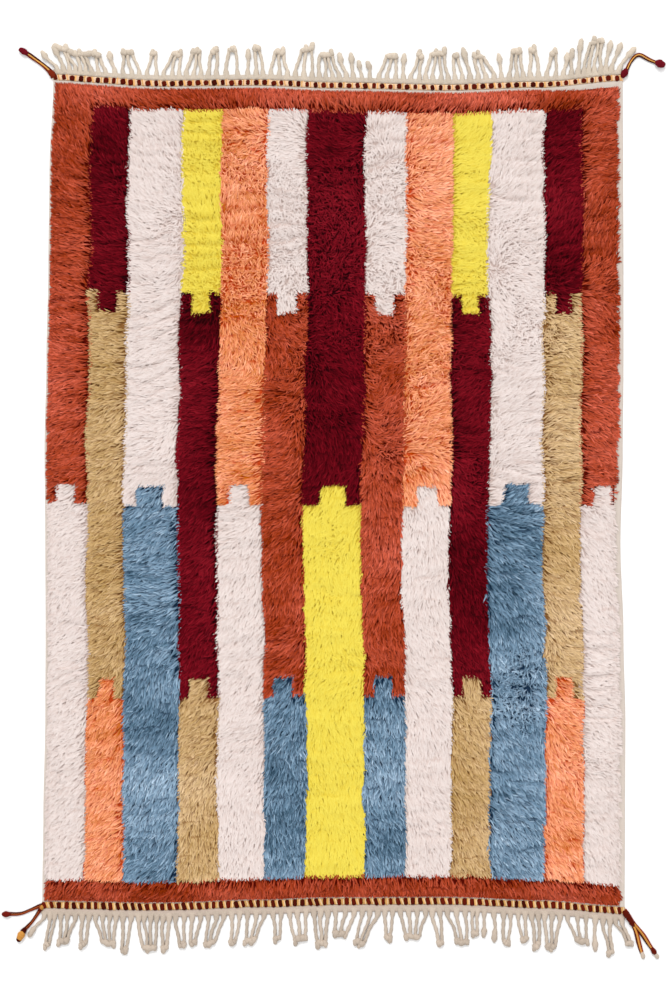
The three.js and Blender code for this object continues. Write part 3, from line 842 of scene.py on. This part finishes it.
def fringeGroup(end, start, whole, knot):
    room, cords, lean, reach = knot
    out, spacing = outward[end], fringe["spacing"]
    pitch = room / cords
    apart = min(max(pitch * spacing["share"], spacing["min"]), spacing["max"])
    middleX = alongEnd(end, (start + room / 2) / whole)
    parts, tips = [], []
    for place in range(cords):
        stray = [uneven(start, place + k) for k in range(6)]
        rootX = alongEnd(end, (start + (place + 0.5) * pitch) / whole)
        tipX = middleX + (place - (cords - 1) / 2) * apart * fringe["drawIn"] + lean
        rootY = endAt(end, rootX) + out * (bodyEnd + rug["strip"][end] - fringe["rootDepth"])
        pastTip = fringe["tail"] * 0.7 if cords > 1 else fringe["knotLength"] * 0.2
        length = reach + fringe["uneven"] * stray[0] - pastTip
        tipY = endAt(end, rootX) + out * length
        span = tipY - rootY
        path = curve([(rootX, rootY, 0), (rootX + lean * 0.1 + stray[1], rootY + span * 0.3, 0),
                      (rootX * 0.45 + tipX * 0.55 + 1.8 * stray[2], rootY + span * 0.62, 0),
                      (tipX, tipY, 0)], fringe["cordSteps"])
        t = np.linspace(0, 1, len(path))
        path[:, 0] += fringe["wave"] * np.sin(t * (5 + 2 * stray[4]) + 6 * stray[5]) * np.sin(t * np.pi)
        flare = fringe["flare"] * np.exp(-(t / fringe["flareShare"]) ** 2)
        wide = fringe["radius"] * (1 + 0.12 * stray[3] + flare)
        high = fringe["radius"] * 0.85 * np.clip(0.48 + t / 0.5, 0, 1)
        if cords == 1:
            knotted = np.exp(-np.abs((t - 0.83) / 0.13) ** 3)
            wide = (wide + (fringe["knot"] - fringe["radius"]) * knotted) * np.where(t > 0.96, 0.62, 1)
            high = (high + 2.4 * knotted) * np.where(t > 0.98, 0.6, 1)
        parts.append(lyingTube(path, wide, high))
        tips.append((tipX, tipY))
    if cords > 1:
        parts.append(knotBar(end, tips, start))
        chosen = int((uneven(start, 41) + 1) / 2 * cords) % cords
        length = fringe["tail"] * (1 + 0.3 * uneven(start, 42))
        parts.append(knotTail(end, *tips[chosen], lean, length, start))
        if cords > 2:
            other = (chosen + 2) % cords
            parts.append(knotTail(end, *tips[other], lean, fringe["tail"] * 0.7, start + 1))
    return parts, tips


def fringeStrip(end):
    count = fringe["stripPoints"]
    x = alongEnd(end, np.linspace(0, 1, count))
    rows = [(0.0, 2.2), (0.15, 3.4), (0.95, 3.4), (1.2, 2.4)]  # share of the strip's depth, height
    grid = []
    for share, height in rows:
        depth = share * rug["strip"][end] * (1 + 0.05 * uneven(np.arange(count), 8) * share)
        y = endAt(end, x) + outward[end] * (bodyEnd + depth)
        grid.append(np.stack([x, y, np.full(count, height)], 1))
    grid += [g * (1, 1, 0) for g in (grid[-1], grid[0])]
    points = np.concatenate(grid)
    i, j = np.meshgrid(np.arange(len(grid)), np.arange(count - 1), indexing="ij")
    a, b = (i * count + j).ravel(), ((i + 1) % len(grid) * count + j).ravel()
    quads = np.stack([a, a + 1, b + 1, b], 1)
    ring = np.arange(len(grid)) * count
    hub = np.full(len(grid) - 2, ring[0])
    caps = np.concatenate([np.stack([hub, ring[1:-1], ring[2:]], 1),
                           np.stack([hub, ring[2:], ring[1:-1]], 1) + count - 1])
    if end == "near":
        quads, caps = quads[:, ::-1], caps[:, ::-1]
    return {"points": points, "quads": quads, "tris": caps, "material": 1, "along": points[:, 0]}


def makeFringe(end):
    parts = [fringeStrip(end)]
    whole, start, before = sum(knot[0] for knot in fringeKnots[end]), 0, None
    for number, knot in enumerate(fringeKnots[end]):
        cords, tips = fringeGroup(end, start, whole, knot)
        parts += cords
        if number in fringe["chain"][end]:
            parts.append(knotBar(end, [before, tips[0]], start))
        start, before = start + knot[0], tips[-1]
    piece = joinParts("fringe_cords_" + end, parts, [cottonCordLitAndShaded[end], cottonStripLitAndShaded[end]])
    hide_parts("fringe_" + end)
    return piece


fringes = [makeFringe(end) for end in ("far", "near")]
print("fringes knotted")


# corner tassels: brown and gold cords with wrapped knobs

tasselYarns = {**cordYarns, "cotton": cottonCordLitAndShaded["near"]}
# place, share of the cord and yarn; the core's own are given with each tassel
strands = [(-1, 0.42, "redBrown"), (1, 0.42, "brown"), (0, None, None)]
tasselCord = {"steps": 64, "shown": 58, "beadSteps": 14}  # the last steps are hidden in the tips
# cord: its width at the root and the tip; core and coreShare: the yarn between its plies, and its share;
# routes: places out past the side and the end; root and tips: beads by their start and end along the cord,
# half width and yarn
tassels = {
    "far_left": {"cord": (15, 10), "core": "amber", "coreShare": 0.3,
                 "root": [(0.0, 0.17, 8.5, "redBrown")],
                 "routes": [[(-2, 0), (4, 10), (30, 35), (56, 54), (88, 74)]],
                 "tips": [[(0.79, 1.0, 8.5, "knob")]]},
    "far_right": {"cord": (11, 10), "core": "amber", "coreShare": 0.3,
                  "root": [(0.0, 0.15, 9.8, "knob")],
                  "routes": [[(-2, 2), (9, 20), (22, 44), (42, 60), (70, 48), (108, 32)]],
                  "tips": [[(0.85, 1.0, 11, "knob")]]},
    "near_left": {"cord": (10, 9), "core": "tawny", "coreShare": 0.3,
                  "root": [(0.0, 0.1, 6, "ochre"), (0.08, 0.14, 5.8, "brown")],
                  "routes": [[(-2, 0), (8, 4), (32, 14), (60, 23), (104, 24)],
                             [(-2, 2), (4, 12), (25, 42), (47, 66), (63, 94)]],
                  "tips": [[(0.82, 1.0, 8.2, "madder")],
                           [(0.68, 0.79, 8.2, "brown"), (0.75, 0.97, 10, "ochre"),
                            (0.93, 1.0, 7.6, "brown")]]},
    "near_right": {"cord": (13, 11), "core": "ochre", "coreShare": 0.46,
                   "root": [(0.0, 0.15, 9, "brown"), (0.08, 0.36, 7.6, "brown")],
                   "routes": [[(-2, 0), (10, 14), (29, 42), (54, 74), (88, 126)],
                              [(-2, 2), (8, 16), (25, 46), (38, 88), (50, 127)]],
                   "tips": [[(0.79, 0.92, 7, "brown"), (0.9, 1.0, 6, "cotton")],
                            [(0.87, 1.0, 6, "cotton")]]},
}


def bead(line, first, last, half, yarn):
    places = np.linspace(first, last, tasselCord["beadSteps"]) * (len(line) - 1)
    path = np.stack([np.interp(places, np.arange(len(line)), line[:, k]) for k in range(3)], 1)
    t = np.linspace(-1, 1, len(path))
    swell = np.sqrt(np.maximum(1 - t ** 4, 0.02)) * (1 + 0.05 * np.cos(t * 16))
    path[:, 2] = half * 0.8 * swell * 0.95
    return tube(path, half * swell, half * 0.8 * swell, 12, list(tasselYarns).index(yarn),
                plies=2, turn=0.22, plyDepth=0.16)


def makeTassel(name):
    shape = tassels[name]
    end, side = name.split("_")
    cornerX = sideAt(side, outward[end] * rug["length"] / 2) + outward[side] * rug["gap"]
    cornerY = endAt(end, cornerX)
    parts = []
    for route, tips in zip(shape["routes"], shape["tips"]):
        line = curve([(cornerX + outward[side] * a, cornerY + outward[end] * b, 0) for a, b in route],
                     tasselCord["steps"])
        travel = travelled(line)
        even = np.linspace(0, travel[-1], len(line))
        line = np.stack([np.interp(even, travel, line[:, k]) for k in range(3)], 1)
        beside = headings(line)[1]
        width = np.linspace(*shape["cord"], len(line))
        for place, share, yarn in strands:
            half = width * (share or shape["coreShare"]) / 2
            twist = np.sin(even * 0.07 + place) * width * 0.08
            strand = line + beside * (place * (width / 2 - half) + twist)[:, None]
            strand[:, 2] = width * (0.42 if place == 0 else 0.24)
            strand, half = strand[:tasselCord["shown"]], half[:tasselCord["shown"]]
            material = list(tasselYarns).index(yarn or shape["core"])
            parts.append(tube(strand, half, half, 8, material, plies=3, turn=0.5, plyDepth=0.12))
        parts += [bead(line, *tip) for tip in tips]
    parts += [bead(line, *knot) for knot in shape["root"]]
    piece = joinParts("corner_tassel_" + name, parts, list(tasselYarns.values()))
    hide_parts("tassel_" + name)
    return piece


cornerTassels = [makeTassel(name) for name in tassels]
print("tassels wrapped")


# floor and light

studio = {"floor": 14.0, "floorDrop": 0.6, "floorColour": (0.93, 0.93, 0.93, 1), "dome": 0.95,
          "sun": 1.6, "sunSize": 20, "sunFrom": (-0.12, 0.8, 0.85)}


def makeStudio():
    half, under = studio["floor"], studio["floorDrop"] * mm
    corners = [(half * x, half * y, -under) for x, y in ((-1, -1), (1, -1), (1, 1), (-1, 1))]
    mesh = bpy.data.meshes.new("floor")
    mesh.from_pydata(corners, [], [(0, 1, 2, 3)])
    floor = addObject("floor", mesh)
    paint, shader = newMaterial("paleFloor", roughness=0.85, specular=0.2)
    shader.inputs["Base Color"].default_value = studio["floorColour"]
    mesh.materials.append(paint)
    world = bpy.data.worlds.new("studio")
    world.use_nodes = True
    sky = world.node_tree.nodes["Background"].inputs
    sky["Color"].default_value = (1, 1, 1, 1)
    sky["Strength"].default_value = studio["dome"]
    scene.world = world
    sunData = bpy.data.lights.new("softSun", "SUN")
    sunData.energy = studio["sun"]
    sunData.angle = math.radians(studio["sunSize"])
    sun = addObject("softSun", sunData)
    x, y, z = studio["sunFrom"]
    sun.rotation_euler = (math.atan2(math.hypot(x, y), z), 0, math.atan2(y, x) + math.pi / 2)


makeStudio()
scene.view_settings.view_transform = "Standard"
scene.view_settings.look = "None"
